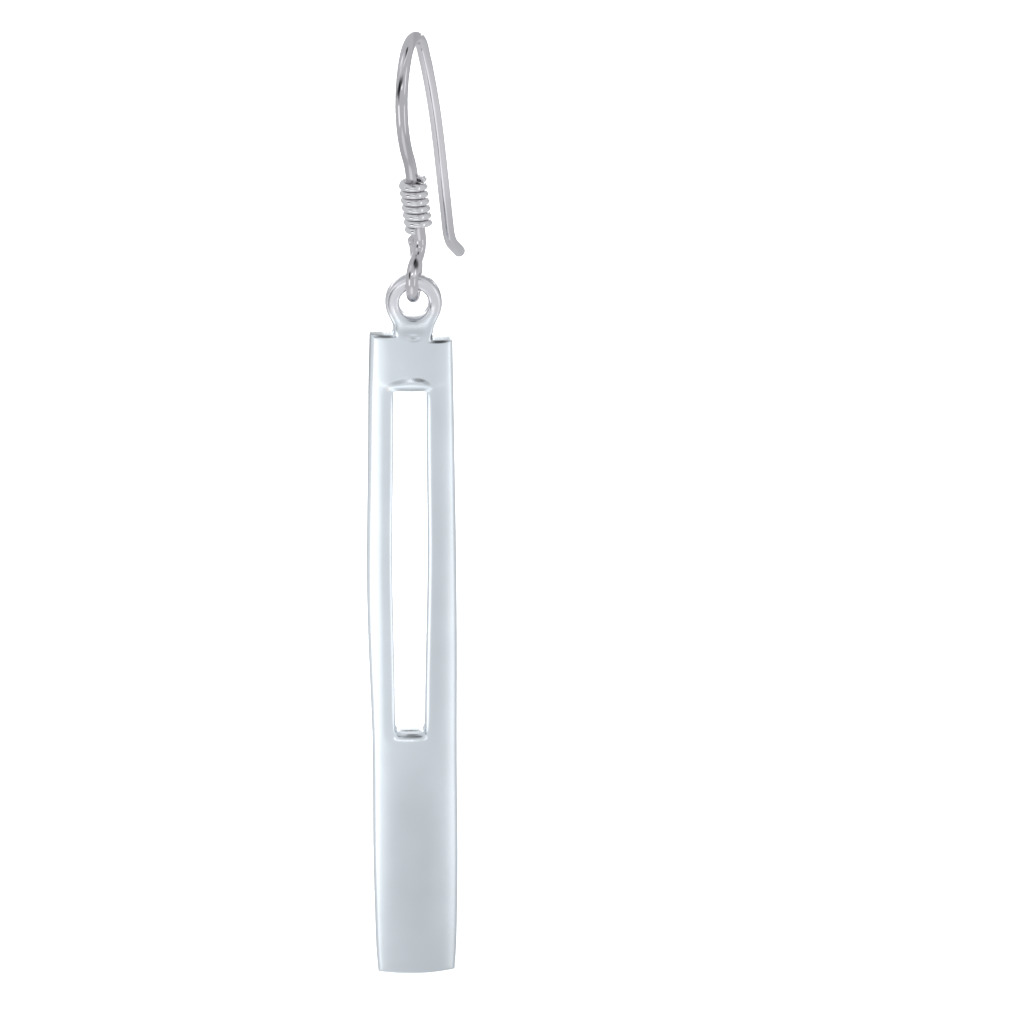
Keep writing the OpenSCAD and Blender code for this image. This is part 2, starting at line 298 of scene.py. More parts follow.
def drag(piece, start, end):
    """Drags the vertex at start to end."""
    place = Vector(start)
    pick(piece, lambda v: (v.co - place).length < NEAR)
    bpy.ops.transform.translate(value=Vector(end) - place)


def finish_piece(piece, body, node, finish):
    """Turns a piece's outside outwards, makes it metres, gives it its body and finish, and hides the CAD
    node that it replaces.
    """
    bpy.ops.object.mode_set(mode="EDIT")
    bpy.ops.mesh.select_all(action="SELECT")
    bpy.ops.mesh.normals_make_consistent(inside=False)
    clear_desk()
    piece.select_set(True)
    bpy.context.view_layer.objects.active = piece
    piece.scale = (MM, MM, MM)
    bpy.ops.object.transform_apply(location=True, rotation=True, scale=True)
    bpy.ops.object.shade_smooth()
    piece.data.materials.clear()
    piece.data.materials.append(finish)
    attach(piece, body)
    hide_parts(node)
    clear_desk()


def apply_modifier(piece, name, kind, **settings):
    """Adds a modifier with its settings and applies it."""
    clear_desk()
    piece.select_set(True)
    bpy.context.view_layer.objects.active = piece
    modifier = piece.modifiers.new(name, kind)
    for key, value in settings.items():
        setattr(modifier, key, value)
    bpy.ops.object.modifier_apply(modifier=modifier.name)


class Course:
    """A place that follows a wire's course, with nothing drawn."""

    def __init__(self, place):
        # The z axis of place runs along the wire, and a positive bend goes towards its x axis
        self.place = place

    def roll(self, degrees):
        self.place = self.place @ Matrix.Rotation(math.radians(degrees), 4, "Z")

    def draw(self, run):
        self.place = self.place @ Matrix.Translation((0, 0, run))

    def bend(self, radius, degrees):
        side = math.copysign(radius, degrees)
        turn = Matrix.Rotation(math.radians(degrees), 4, "Y")
        self.place = self.place @ Matrix.Translation((side, 0, 0)) @ turn @ Matrix.Translation((-side, 0, 0))


class WireEnd(Course):
    """The open end of a wire in edit mode, which is drawn out and bent along its course."""

    def draw(self, run):
        bpy.ops.mesh.extrude_region_move(TRANSFORM_OT_translate={"value": self.place.col[2].xyz * run})
        super().draw(run)

    def bend(self, radius, degrees):
        bpy.ops.mesh.spin(
            steps=max(2, round(abs(degrees) / BEND_STEP)),
            angle=-math.radians(degrees),
            center=self.place @ Vector((math.copysign(radius, degrees), 0, 0)),
            axis=self.place.col[1].xyz,
        )
        super().bend(radius, degrees)

    def close(self, radius, rounding, steps=5):
        """Rounds the end's edge and fills it."""
        width = radius
        for k in range(steps):
            low, high = (math.radians(90 * (k + more) / steps) for more in (0, 1))
            self.draw(rounding * (math.sin(high) - math.sin(low)))
            new = radius - rounding * (1 - math.cos(high))
            bpy.ops.transform.resize(value=(new / width,) * 3, center_override=self.place.translation)
            width = new
        bpy.ops.mesh.edge_face_add()


def crown_place(direction, wire_r):
    """Place on the crown whose z axis runs level in a direction and whose x axis points down."""
    a = math.radians(direction)
    return Matrix((
        (0, -math.sin(a), math.cos(a), 0),
        (0, math.cos(a), math.sin(a), 0),
        (-1, 0, 0, wire_r),
        (0, 0, 0, 1),
    ))


def bend_front(end, sizes, stop_at_shank=False):
    """Bends the front leg and, below the shank, the loop with its closing tail."""
    crown = in_degrees(sizes, "crown_angle")
    brow = in_degrees(sizes, "brow_angle")
    cheek = in_degrees(sizes, "cheek_slope")
    shank = in_degrees(sizes, "shank_slope")
    swan = in_degrees(sizes, "swan_angle")
    loop_r = in_mm(sizes, "loop_r")
    end.bend(in_mm(sizes, "crown_r"), crown)
    end.bend(in_mm(sizes, "brow_r"), brow)
    end.bend(in_mm(sizes, "cheek_r"), 90 + cheek - crown - brow)
    end.bend(in_mm(sizes, "nape_r"), shank - cheek)
    if stop_at_shank:
        return
    end.draw(in_mm(sizes, "shank_len"))
    end.roll(in_degrees(sizes, "swan_turn"))
    end.bend(in_mm(sizes, "swan_r"), -swan)
    end.bend(loop_r, swan - shank)
    turns = {name: in_degrees(sizes, name + "_turn") for name in ("loop", "hook", "swan")}
    end.roll(turns["loop"] - turns["hook"] - turns["swan"])
    end.bend(loop_r, 180)
    end.roll(-in_degrees(sizes, "tail_turn"))
    end.bend(in_mm(sizes, "tail_r"), in_degrees(sizes, "tail_angle"))


def bend_back(end, sizes):
    """Bends the long back leg and its kicked tip."""
    end.bend(in_mm(sizes, "crown_r"), in_degrees(sizes, "crown_angle"))
    end.bend(in_mm(sizes, "back_r"), in_degrees(sizes, "back_angle"))
    end.draw(in_mm(sizes, "back_len"))
    end.bend(in_mm(sizes, "kick_r"), -in_degrees(sizes, "kick_angle"))
    end.draw(in_mm(sizes, "tip_len"))


class Number:
    """A shader socket that takes part in plain arithmetic."""

    def __init__(self, finish, socket):
        self.finish = finish
        self.socket = socket

    def __add__(self, other):
        return self.finish.math("ADD", self, other)

    __radd__ = __add__

    def __sub__(self, other):
        return self.finish.math("SUBTRACT", self, other)

    def __rsub__(self, other):
        return self.finish.math("SUBTRACT", other, self)

    def __mul__(self, other):
        return self.finish.math("MULTIPLY", self, other)

    __rmul__ = __mul__

    def between(self, low, high):
        """0 below low, 1 above high, and smooth between them."""
        return self.finish.node(
            "ShaderNodeMapRange",
            {"interpolation_type": "SMOOTHSTEP"},
            {"Value": self, "From Min": low, "From Max": high},
        )


class Finish:
    """The nodes of one material or of the world."""

    def __init__(self, name, tree=None):
        if tree is None:
            self.material = bpy.data.materials.new(name)
            self.material.use_nodes = True
            tree = self.material.node_tree
        self.tree = tree
        self.tree.nodes.clear()

    def node(self, kind, settings=None, sockets=None, out=0):
        """Adds a node with its settings and its sockets' values or links, and returns one output."""
        made = self.tree.nodes.new(kind)
        for key, value in (settings or {}).items():
            if key == "stops":
                ramp = made.color_ramp
                while len(ramp.elements) < len(value):
                    ramp.elements.new(1)
                for element, (at, shade) in zip(ramp.elements, value):
                    element.position = at
                    element.color = (*shade, 1) if hasattr(shade, "__len__") else (shade, shade, shade, 1)
            else:
                setattr(made, key, value)
        for key, value in (sockets or {}).items():
            if isinstance(value, Number):
                self.tree.links.new(value.socket, made.inputs[key])
            elif hasattr(value, "__len__") and len(made.inputs[key].default_value) == 4:
                made.inputs[key].default_value = (*value, 1)
            else:
                made.inputs[key].default_value = value
        return Number(self, made.outputs[out]) if made.outputs else None

    def math(self, operation, *values):
        """One step of arithmetic on sockets and numbers."""
        return self.node("ShaderNodeMath", {"operation": operation}, dict(enumerate(values)))

    def place(self):
        """The piece's own coordinates, in metres."""
        return self.node("ShaderNodeTexCoord", out="Object")

    def noise(self, where, size, detail=2.0, stretch=(1, 1, 1)):
        """Cloudy noise whose blotches are about size metres across."""
        put = self.node("ShaderNodeMapping", {}, {"Vector": where, "Scale": stretch})
        return self.node("ShaderNodeTexNoise", {}, {"Vector": put, "Scale": 1 / size, "Detail": detail})

    def mixed(self, share, first, second):
        """A blend of two colours, through the colour sockets of a Mix node."""
        return self.node("ShaderNodeMix", {"data_type": "RGBA"}, {0: share, 6: first, 7: second}, out=2)

    def painted_reflections(self, where, table):
        """How much darker or lighter the metal is painted by a table of soft ovals of painted reflection and
        painted highlight.
        """
        painted_shading = 1.0
        for middle, extent, tilt, share in table:
            put = self.node(
                "ShaderNodeMapping",
                {"vector_type": "TEXTURE"},
                {"Vector": where, "Location": Vector(middle) * MM, "Rotation": (0, math.radians(tilt), 0),
                 "Scale": Vector(extent) * MM},
            )
            far = self.node("ShaderNodeVectorMath", {"operation": "LENGTH"}, {0: put}, out="Value")
            painted_shading = painted_shading * (share + (1 - share) * far.between(REFLECTION_CORE, 1.0))
        return painted_shading


# Painted reflections and painted highlights on the silver, as soft ovals. Each is its middle and its half
# extents in millimetres, its tilt in degrees and how bright the metal is painted in it. One of DEEP runs
# right through the metal
DEEP = 1000
# Share of a painted reflection's half extent over which it is full, before it fades towards its edge
REFLECTION_CORE = 0.3
# The hook's: a painted dark streak and two painted highlight lines on the front leg, painted shade low on
# it, a painted sheen on the back leg, and a painted dark spot over a painted highlight on the loop
HOOK_PAINTED_REFLECTIONS = (
    ((-1.00, 0, -2.25), (0.15, DEEP, 0.95), 15, 0.15),
    ((-0.62, 0, -0.60), (0.05, DEEP, 0.75), 19, 1.5),
    ((-0.86, 0, -0.68), (0.05, DEEP, 0.70), 19, 1.45),
    ((-0.62, 0, -7.00), (0.75, DEEP, 2.80), 0, 0.82),
    ((1.50, 0, -6.60), (1.40, DEEP, 8.60), -9, 1.28),
    ((0.11, 0, -14.42), (0.24, DEEP, 0.46), 0, 0.15),
    ((0.00, 0, -15.05), (0.24, DEEP, 0.26), 0, 1.4),
)
# The bar's: painted shade on the neck, a painted dark crescent with a painted highlight over the slot,
# painted dark lines along the shoulders and at the slot's foot, and painted shade low on the bar
BAR_PAINTED_REFLECTIONS = (
    ((-0.13, 0, -18.95), (1.60, DEEP, 0.95), 0, 0.82),
    ((0.05, 0, -19.65), (0.55, DEEP, 0.28), 0, 0.78),
    ((0.28, 0, -22.40), (0.62, DEEP, 0.19), 7, 0.42),
    ((-0.90, 0, -22.52), (1.10, DEEP, 0.20), -17, 0.72),
    ((0.75, 0, -22.56), (0.50, DEEP, 0.19), 27, 0.72),
    ((-0.15, 0, -23.05), (1.50, DEEP, 0.30), 0, 0.74),
    ((-1.69, 0, -23.07), (0.20, DEEP, 0.24), 0, 1.18),
    ((1.78, 0.70, -19.87), (1.10, 0.42, 0.15), 0, 0.12),
    ((1.16, 0, -19.55), (0.13, DEEP, 0.36), 0, 0.35),
    ((-1.95, 0.80, -19.52), (1.05, 0.45, 0.12), 0, 0.25),
    ((-0.25, 1.45, -47.61), (0.95, 0.16, 0.30), 0, 0.10),
    ((-0.10, 0.78, -47.61), (0.65, 0.12, 0.20), 0, 0.40),
    ((-0.25, 0, -47.80), (0.95, DEEP, 0.14), 0, 0.78),
    ((-0.10, 0, -56.50), (2.40, DEEP, 9.50), 0, 0.90),
)


# Heights in millimetres from which and to which the bar's painted light and shade change: down its upper
# half, down to its foot, up its left rim, up to the ring's outline, and to the ring's tint, a painted
# reflection colour
UPPER_HALF = (-20, -40)
FOOT = (-53, -68)
LEFT_RIM = (-26, -21)
RING_START = (-18.9, -18.4)
RING_COLOUR = (-18.6, -17.6)
# How far the face's middle lies before the hinge in millimetres, the share of the square of the
# distance from the middle by which the face falls back, and the ring's centre's drop below the hinge
FACE_FRONT = 1.1
DOME_FALL = 0.0778
RING_DROP = 0.41
# Depths behind the domed face, and squares of the distance from its middle, over which the rim's
# painted dark reflection comes in
RIM_DEPTH = (0.05, 0.22)
RIM_SQUARE = (3.4, 4.8)
# Distances from the ring's centre, in millimetres, over which a painted dark reflection darkens its outer
# and inner edges
RING_EDGE = (1.72, 1.86)
HOLE_EDGE = (1.01, 0.93)


def bar_painted_shading(made, where):
    """Painted light and shade on the bar: paler at the top and on the left, duller at its foot, painted dark
    reflections on its rims and round the ring's edges.
    """
    across, depth, height = (
        made.node("ShaderNodeSeparateXYZ", {}, {"Vector": where}, out=axis) * (1 / MM) for axis in "XYZ")
    # Painted light: a little paler high on the bar, duller towards its foot
    fall = 1.06 - 0.03 * height.between(*UPPER_HALF) - 0.14 * height.between(*FOOT)
    # Painted dark reflection on the rims where the face falls back from its dome, stronger on the left and
    # higher up
    square = across * across
    below = depth - square * DOME_FALL - (PIVOT.y - FACE_FRONT)
    rim = below.between(*RIM_DEPTH) * square.between(*RIM_SQUARE)
    darker = 0.15 + across.between(0, -1) * (0.17 + 0.2 * height.between(*LEFT_RIM))
    # Painted dark reflection round the ring's outer edge and round its hole
    ring = made.node(
        "ShaderNodeMapping",
        {"vector_type": "TEXTURE"},
        {"Vector": where, "Location": Vector((PIVOT.x, 0, PIVOT.z - RING_DROP)) * MM, "Scale": (MM, 1, MM)},
    )
    radius = made.node("ShaderNodeVectorMath", {"operation": "LENGTH"}, {0: ring}, out="Value")
    outline = (radius.between(*RING_EDGE) + radius.between(*HOLE_EDGE)) * height.between(*RING_START)
    # All painted: the gradient, a painted light paler towards the left, the rim shade and the ring's dark
    # edges
    return fall * (1 - across * 0.03) * (1 - rim * darker) * (1 - 0.35 * outline)


# The silver's colour drifts by this share, in blotches of this size in millimetres
DRIFT = 0.03
BLOTCH = 4
# Size, stretch and depth of its fine scratches, in millimetres
SCRATCH = 0.12
SCRATCH_STRETCH = (1, 1, 0.12)
SCRATCH_DEPTH = 0.001


def silver(name, tint, roughness, haze, dent_size, dent_depth,
           painted_reflections=(), scratches=0.25, painted_shading=None, upper=None):
    """Polished silver with a little colour drift, fine scratches, haze, soft dents, and painted reflections,
    light and shade in its colour.
    """
    made = Finish(name)
    where = made.place()
    cloud = made.noise(where, BLOTCH * MM, 3)
    grain = made.noise(where, SCRATCH * MM, stretch=SCRATCH_STRETCH)
    dent = made.noise(where, dent_size * MM)
    shade = made.node(
        "ShaderNodeValToRGB",
        {"stops": [(0.3, [c * (1 - DRIFT) for c in tint]), (0.7, [min(c * (1 + DRIFT), 1) for c in tint])]},
        {"Fac": cloud},
    )
    # Above the shoulders the colour turns to the ring's tint, a painted reflection colour
    if upper:
        height = made.node("ShaderNodeSeparateXYZ", {}, {"Vector": where}, out="Z")
        shade = made.mixed(height.between(*(level * MM for level in RING_COLOUR)), shade, upper)
    share = made.painted_reflections(where, painted_reflections)
    # Painted light and shade in the colour, as on the bar
    if painted_shading:
        share = share * painted_shading(made, where)
    shade = made.node("ShaderNodeVectorMath", {"operation": "SCALE"}, {0: shade, "Scale": share})
    rough = roughness + (cloud - 0.5) * haze + (grain - 0.5) * haze
    soft = made.node("ShaderNodeBump", {}, {"Height": dent, "Strength": 1.0, "Distance": dent_depth * MM})
    fine = made.node(
        "ShaderNodeBump",
        {},
        {"Height": grain, "Strength": scratches, "Distance": SCRATCH_DEPTH * MM, "Normal": soft},
    )
    surface = made.node(
        "ShaderNodeBsdfPrincipled",
        {},
        {"Base Color": shade, "Metallic": 1.0, "Roughness": rough, "Normal": fine},
    )
    made.node("ShaderNodeOutputMaterial", {}, {"Surface": surface})
    return made.material


class EARRING_OT_hook(bpy.types.Operator):
    """Bend the ear hook from one wire"""
    bl_idname = "earring.hook"
    bl_label = "Ear hook"

    def execute(self, context):
        sizes = context.scene.earring_hook
        finishes = context.scene.earring_finishes
        wire_r = in_mm(sizes, "wire_d") / 2
        skin_r = wire_r + in_mm(sizes, "plating")
        turn = in_degrees(sizes, "hook_turn")
        start = crown_place(270 - turn, wire_r)
        clear_desk()
        bpy.ops.mesh.primitive_circle_add(
            vertices=sizes.sides, radius=skin_r, location=start.translation, rotation=start.to_euler())
        piece = start_piece("hook_wire")
        front = WireEnd(start)
        bend_front(front, sizes)
        front.close(skin_r, in_mm(sizes, "cut_rounding"), 2)
        level = start.col[2].xyz
        top = start.translation
        pick(piece, lambda v: abs((v.co - top).dot(level)) < NEAR and (v.co - top).length < 1.1 * wire_r)
        back = WireEnd(crown_place(90 - turn, wire_r))
        bend_back(back, sizes)
        back.close(skin_r, in_mm(sizes, "tip_rounding"))
        # The hook's silver carries painted reflections and painted highlights
        finish = silver("hook_silver", finishes.wire_tint, finishes.wire_roughness, haze=0.05,
                        dent_size=0.9, dent_depth=0.006, painted_reflections=HOOK_PAINTED_REFLECTIONS)
        finish_piece(piece, "hook", "ear_hook", finish)
        return {"FINISHED"}


class EARRING_OT_coil(bpy.types.Operator):
    """Wind the fine wire coil on the shank"""
    bl_idname = "earring.coil"
    bl_label = "Wire coil"

    def execute(self, context):
        sizes = context.scene.earring_coil
        hook = context.scene.earring_hook
        finishes = context.scene.earring_finishes
        shank = Course(crown_place(270 - in_degrees(hook, "hook_turn"), in_mm(hook, "wire_d") / 2))
        bend_front(shank, hook, stop_at_shank=True)
        fine_r = in_mm(sizes, "wire_d") / 2
        coil_r = in_mm(hook, "wire_d") / 2 + in_mm(sizes, "fit") + fine_r
        pitch = 2 * fine_r + in_mm(sizes, "turn_gap")
        clear_desk()
        bpy.ops.mesh.primitive_circle_add(
            vertices=sizes.sides, radius=fine_r,
            location=(coil_r, 0, in_mm(sizes, "start") + fine_r), rotation=(math.pi / 2, 0, 0))
        piece = start_piece("coil_wire")
        apply_modifier(
            piece, "Winding", "SCREW", axis="Z", angle=-2 * math.pi * sizes.turns,
            screw_offset=pitch * sizes.turns, steps=round(sizes.steps * sizes.turns),
            render_steps=round(sizes.steps * sizes.turns), use_merge_vertices=False)
        bpy.ops.object.mode_set(mode="EDIT")
        # Each step around the coil slides along the shank, so that the turns rise towards the front
        ready = shank.place @ Matrix.Rotation(sizes.phase, 4, "Z")
        front = (ready.to_3x3().inverted() @ toward(0, 0)).xy.normalized()
        for k in range(sizes.steps):
            a = 2 * math.pi * k / sizes.steps
            ray = Vector((math.cos(a), math.sin(a)))
            pick(piece, lambda v, ray=ray: (v.co.xy.normalized() - ray).length < 2 / sizes.steps)
            bpy.ops.transform.translate(value=(0, 0, -coil_r * math.tan(sizes.lean) * ray.dot(front)))
        bpy.ops.mesh.select_all(action="SELECT")
        bpy.ops.mesh.fill_holes(sides=sizes.sides)
        pick(piece, lambda e: any(len(face.verts) == sizes.sides for face in e.link_faces), "edges")
        bpy.ops.mesh.bevel(offset=in_mm(sizes, "cut_rounding"), segments=3, affect="EDGES")
        clear_desk()
        piece.select_set(True)
        piece.matrix_world = ready
        bpy.ops.object.transform_apply(location=True, rotation=True, scale=True)
        # The coil's paler tint is painted light against its own shade
        finish = silver("coil_silver", finishes.coil_tint_and_painted_light, finishes.wire_roughness, haze=0.05,
                        dent_size=0.5, dent_depth=0.004)
        finish_piece(piece, "hook", "wire_coil", finish)
        return {"FINISHED"}


class EARRING_OT_bar(bpy.types.Operator):
    """Model the slotted bar with its neck and ring"""
    bl_idname = "earring.bar"
    bl_label = "Slotted bar"

    def execute(self, context):
        plan = BarPlan(context.scene.earring_bar)
        finishes = context.scene.earring_finishes
        piece = model_bar(plan)
        # The ring hangs with its hole's top edge over the loop's lowest wire
        wire_r = in_mm(context.scene.earring_hook, "wire_d") / 2
        piece.location = PIVOT - Vector((0, 0, plan.hole_r - wire_r - plan.hang_gap))
        bpy.ops.object.transform_apply(location=True, rotation=True, scale=True)
        # The bar's silver carries painted reflections, painted light and shade, and the ring's painted
        # reflection tint
        finish = silver("bar_silver", finishes.bar_tint, finishes.bar_roughness, haze=0.012,
                        dent_size=2.5, dent_depth=0.006, painted_reflections=BAR_PAINTED_REFLECTIONS, scratches=0.0,
                        painted_shading=bar_painted_shading, upper=tuple(finishes.ring_reflection_tint))
        finish_piece(piece, "drop", "bar_drop", finish)
        return {"FINISHED"}


# The bar's cage has eleven columns of vertices: the left side, the middle of the left rail,
# where the face starts to roll into the slot, the slot's left side, three across the
# slot, and the same on the right. The slot's columns are its two sides and those across it
COLUMNS = 11
SLOT_COLUMNS = range(3, 8)
# Rows of the cage as shares of the bar's length, above and below the slot
ROWS_ABOVE = (0.0, 0.010, 0.030, 0.050, 0.0605, 0.067, 0.076)
ROWS_BELOW = (0.620, 0.64, 0.69, 0.75, 0.81, 0.87, 0.93, 0.97, 0.99, 1.0)
STEPS_BESIDE = 11
# The ridge over the slot: its row, how far it sags from column to column as shares of its widest
# sag, that sag in millimetres, the column where it stands highest, and its reach in columns
RIDGE_ROW = 5
RIDGE_SAG = {2: 0.85, 3: 0.7, 4: 0.3, 5: 0.0, 6: -0.05, 7: 0.2, 8: 0.9}
RIDGE_SAG_H = 0.42
RIDGE_MIDDLE = 5.3
RIDGE_REACH = 4
# Height over the ring's centre, in millimetres, where the neck's front starts to lead into the face
NECK_START = 0.4
# Vertices around the ring, and how much smaller smoothing makes a circle of so few
RING_SIDES = 16
RING_SHRINK = (2 + math.cos(2 * math.pi / RING_SIDES)) / 3
# Depth of the normal under which a face is a side wall, and over which it is a front or a back
WALL_NORMAL = 0.3
FLAT_NORMAL = 0.6
# The facet at the left edge's top: its share of the bar's length, and the steps in which it narrows
FACET_SHARE = 0.26
FACET_STEPS = 6
# The widest bevel of the bar, to which each edge's weight is a share, in millimetres
WIDEST_RIM = 0.5


class BarPlan:
    """Where the bar's cage lies, measured from the ring's centre in millimetres."""

    def __init__(self, sizes):
        for name in BarSizes.__annotations__:
            setattr(self, name, in_mm(sizes, name))
        self.ring_r = self.ring_d / 2
        self.hole_r = self.hole_d / 2
        self.half_w = self.bar_w / 2
        self.back_y = self.ring_t / 2
        self.front_y = self.back_y - self.bar_t
        self.dome_r = (self.half_w ** 2 + self.dome_h ** 2) / (2 * self.dome_h)
        self.slot_top = self.slot_drop / self.bar_len
        self.slot_foot = (self.slot_drop + self.slot_len) / self.bar_len
        self.top_z = -self.shoulder_drop - self.slot_drop
        self.foot_z = self.top_z - self.slot_len
        self.rows = [*ROWS_ABOVE]
        self.rows += [self.slot_top + (self.slot_foot - self.slot_top) * k / STEPS_BESIDE
                      for k in range(STEPS_BESIDE + 1)]
        self.rows += ROWS_BELOW
        self.first_slot_row = len(ROWS_ABOVE)
        self.last_slot_row = self.first_slot_row + STEPS_BESIDE

    def face_y(self, x):
        """Depth of the domed face."""
        return self.front_y + self.dome_r - math.sqrt(self.dome_r ** 2 - x ** 2)

    def slot_sides(self, share):
        """The slot's left and right side, which lead into the neck's sides above it."""
        inside = (share - self.slot_top) / (self.slot_foot - self.slot_top)
        half = along(SLOT_SIDES, min(max(inside, 0), 1))[0] * self.slot_w / 2
        left = self.slot_shift - half
        right = self.slot_shift + half
        neck = max(0, 1 - share / self.slot_top)
        left += (self.neck_shift - self.neck_w / 2 - left) * neck
        right += (self.neck_shift + self.neck_w / 2 - right) * neck
        return left, right

    def place(self, row, column):
        """Where a vertex of the cage's front goes."""
        share = self.rows[row]
        left, right = (side * self.half_w for side in along(BAR_SIDES, share))
        slot_left, slot_right = self.slot_sides(share)
        near_left = slot_left - self.roll_w
        near_right = slot_right + self.roll_w
        across = [-left, (near_left - left) / 2, near_left, slot_left]
        across += [slot_left + (slot_right - slot_left) * k / 4 for k in (1, 2, 3)]
        across += [slot_right, near_right, (near_right + right) / 2, right]
        x = across[column]
        step = self.shoulder_step * max(0, 1 - share / self.slot_top)
        lean = min(max((x - slot_left) / (slot_right - slot_left), 0), 1)
        y = self.face_y(x)
        z = -self.shoulder_drop - share * self.bar_len - step * lean
        if row == RIDGE_ROW and column in RIDGE_SAG:
            z -= RIDGE_SAG[column] * RIDGE_SAG_H
            y -= self.ridge_h * (1 - abs(column - RIDGE_MIDDLE) / RIDGE_REACH)
        if self.first_slot_row <= row <= self.last_slot_row and column in SLOT_COLUMNS:
            y += self.roll_t
        return Vector((x, y, z))

    def neck_y(self, z):
        """Depth of the front where the ring leads into the bar's face."""
        down = min(max((NECK_START - z) / (NECK_START + self.shoulder_drop), 0), 1)
        return -self.back_y + (self.front_y + self.back_y) * down * down * (3 - 2 * down)

    def in_slot(self, place):
        return abs(place.x - self.slot_shift) < self.slot_w / 2 and self.foot_z < place.z < self.top_z


def model_bar(plan):
    """Shapes the bar from a flat grid: its outline, slot, ring, thickness and rounded edges."""
    clear_desk()
    last = len(plan.rows) - 1
    bpy.ops.mesh.primitive_grid_add(
        x_subdivisions=COLUMNS - 1, y_subdivisions=last, size=2, rotation=(math.pi / 2, 0, 0))
    piece = start_piece("slotted_bar")
    for row in range(last + 1):
        for column in range(COLUMNS):
            drag(piece, (2 * column / (COLUMNS - 1) - 1, 0, 1 - 2 * row / last), plan.place(row, column))
    pick(piece, lambda f: plan.in_slot(f.calc_center_median()), "faces")
    bpy.ops.mesh.delete(type="FACE")
    add_ring(piece, plan)

    # Thickness, with a flat back
    bpy.ops.mesh.select_all(action="SELECT")
    bpy.ops.mesh.normals_make_consistent(inside=False)
    bpy.ops.mesh.extrude_region_move(TRANSFORM_OT_translate={"value": (0, 1, 0)})
    bpy.ops.transform.resize(value=(1, 0, 1), center_override=(0, plan.back_y, 0))
    bpy.ops.mesh.select_all(action="SELECT")
    bpy.ops.mesh.normals_make_consistent(inside=False)
    weigh_edges(piece, plan)
    clear_desk()
    apply_modifier(piece, "Rims", "BEVEL", limit_method="WEIGHT", width=WIDEST_RIM, segments=2,
                   offset_type="OFFSET", use_clamp_overlap=True)
    apply_modifier(piece, "Smooth", "SUBSURF", levels=3, render_levels=3)
    return piece


def add_ring(piece, plan):
    """A flat circle drawn inwards to the ring's hole, and the neck down from it to the face."""
    ring_r = plan.ring_r / RING_SHRINK
    bpy.ops.mesh.select_mode(type="VERT")
    bpy.ops.mesh.primitive_circle_add(
        vertices=RING_SIDES, radius=ring_r, location=(0, -plan.back_y, 0), rotation=(math.pi / 2, 0, 0))
    bpy.ops.mesh.extrude_region_move()
    bpy.ops.transform.resize(value=(plan.hole_r / plan.ring_r,) * 3, center_override=(0, -plan.back_y, 0))
    margin = 0.01
    neck_z = -0.62 * plan.ring_r
    shoulder_z = -plan.shoulder_drop - plan.shoulder_step - margin

    def at_neck(edge):
        """Whether the edge is of the ring's outside or the bar's top, where the neck joins them."""
        a, b = (v.co for v in edge.verts)
        if not edge.is_boundary or max(a.z, b.z) > neck_z or min(a.z, b.z) < shoulder_z:
            return False
        if min(a.z, b.z) > -ring_r - margin:
            return min(a.xz.length, b.xz.length) > 0.9 * plan.ring_r
        return max(abs(v.x - plan.neck_shift) for v in (a, b)) < plan.neck_w / 2 + margin

    pick(piece, at_neck, "edges")
    bpy.ops.mesh.bridge_edge_loops(number_cuts=1, interpolation="LINEAR")
    mesh = bmesh.from_edit_mesh(piece.data)
    for place in [v.co.copy() for v in mesh.verts if v.co.z > -plan.shoulder_drop + SLACK]:
        drag(piece, place, (place.x, plan.neck_y(place.z), place.z))


